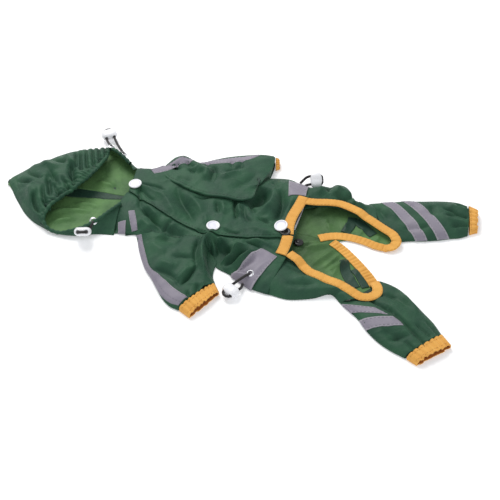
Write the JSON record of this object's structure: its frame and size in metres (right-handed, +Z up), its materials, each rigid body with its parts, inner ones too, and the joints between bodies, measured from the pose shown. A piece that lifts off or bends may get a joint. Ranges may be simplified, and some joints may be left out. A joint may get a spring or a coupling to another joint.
{
  "type": "dog rain suit",
  "caption": "Hooded dog raincoat with sleeves and hind legs, laid flat on its back, with bound rear opening, elastic cuffs, tapes, snaps and drawcords.",
  "frame": {"origin": "middle of the bounding box of the cloth and its trim at the surface it lies on, without the cords and cord locks", "axes": "+X from the hood towards the hind legs, +Y towards the dog's left side as it lies on its back, +Z up from the surface"},
  "size_m": [0.4414, 0.224, 0.022],
  "materials": {
    "green_cloth": "coated nylon, soft sheen",
    "light_green_cloth": "coated nylon, uncoated inner side",
    "orange_binding": "woven binding",
    "gray_tape": "reflective tape, matte gray by daylight",
    "white_plastic": "gloss",
    "black_plastic": "satin",
    "eyelet_metal": "satin",
    "black_cord": "braided elastic"
  },
  "bodies": {
    "root": {"back_panel": "green_cloth", "belly_near": "green_cloth", "belly_far": "green_cloth", "sleeve_near": "green_cloth", "sleeve_far": "green_cloth", "leg_near": "green_cloth", "leg_far": "green_cloth", "hip_near": "green_cloth", "hip_far": "green_cloth", "hood_near": "green_cloth", "hood_far": "green_cloth", "hood_strip": "green_cloth", "hood_crown": "green_cloth", "face_casing": "green_cloth", "seat_panel": "light_green_cloth", "cuff_sleeve_near": "orange_binding", "cuff_sleeve_far": "orange_binding", "cuff_leg_near": "orange_binding", "cuff_leg_far": "orange_binding", "hem_far": "orange_binding", "hem_near": "orange_binding", "edge_far": "orange_binding", "edge_near": "orange_binding", "gather_far": "orange_binding", "gather_near": "orange_binding", "waist_tape": "gray_tape", "neck_tape": "gray_tape", "shoulder_tape_near": "gray_tape", "shoulder_tape_far": "gray_tape", "sleeve_tape_near": "gray_tape", "sleeve_tape_far": "gray_tape", "leg_tape_near_a": "gray_tape", "leg_tape_near_b": "gray_tape", "leg_tape_far_a": "gray_tape", "leg_tape_far_b": "gray_tape", "snap_throat": "white_plastic", "snap_belly": "white_plastic", "snap_hem": "white_plastic", "lock_hood_far": "white_plastic", "lock_hood_near": "white_plastic", "lock_waist_near": "white_plastic", "lock_waist_far": "white_plastic", "snap_hem_socket": "black_plastic", "snap_inner": "black_plastic", "eyelet_hood_near_a": "eyelet_metal", "eyelet_hood_near_b": "eyelet_metal", "eyelet_hood_far_a": "eyelet_metal", "eyelet_hood_far_b": "eyelet_metal", "eyelet_waist_near": "eyelet_metal", "cord_hood_far": "black_cord", "cord_hood_near": "black_cord", "cord_waist_near": "black_cord", "cord_waist_far": "black_cord"}
  },
  "joints": []
}
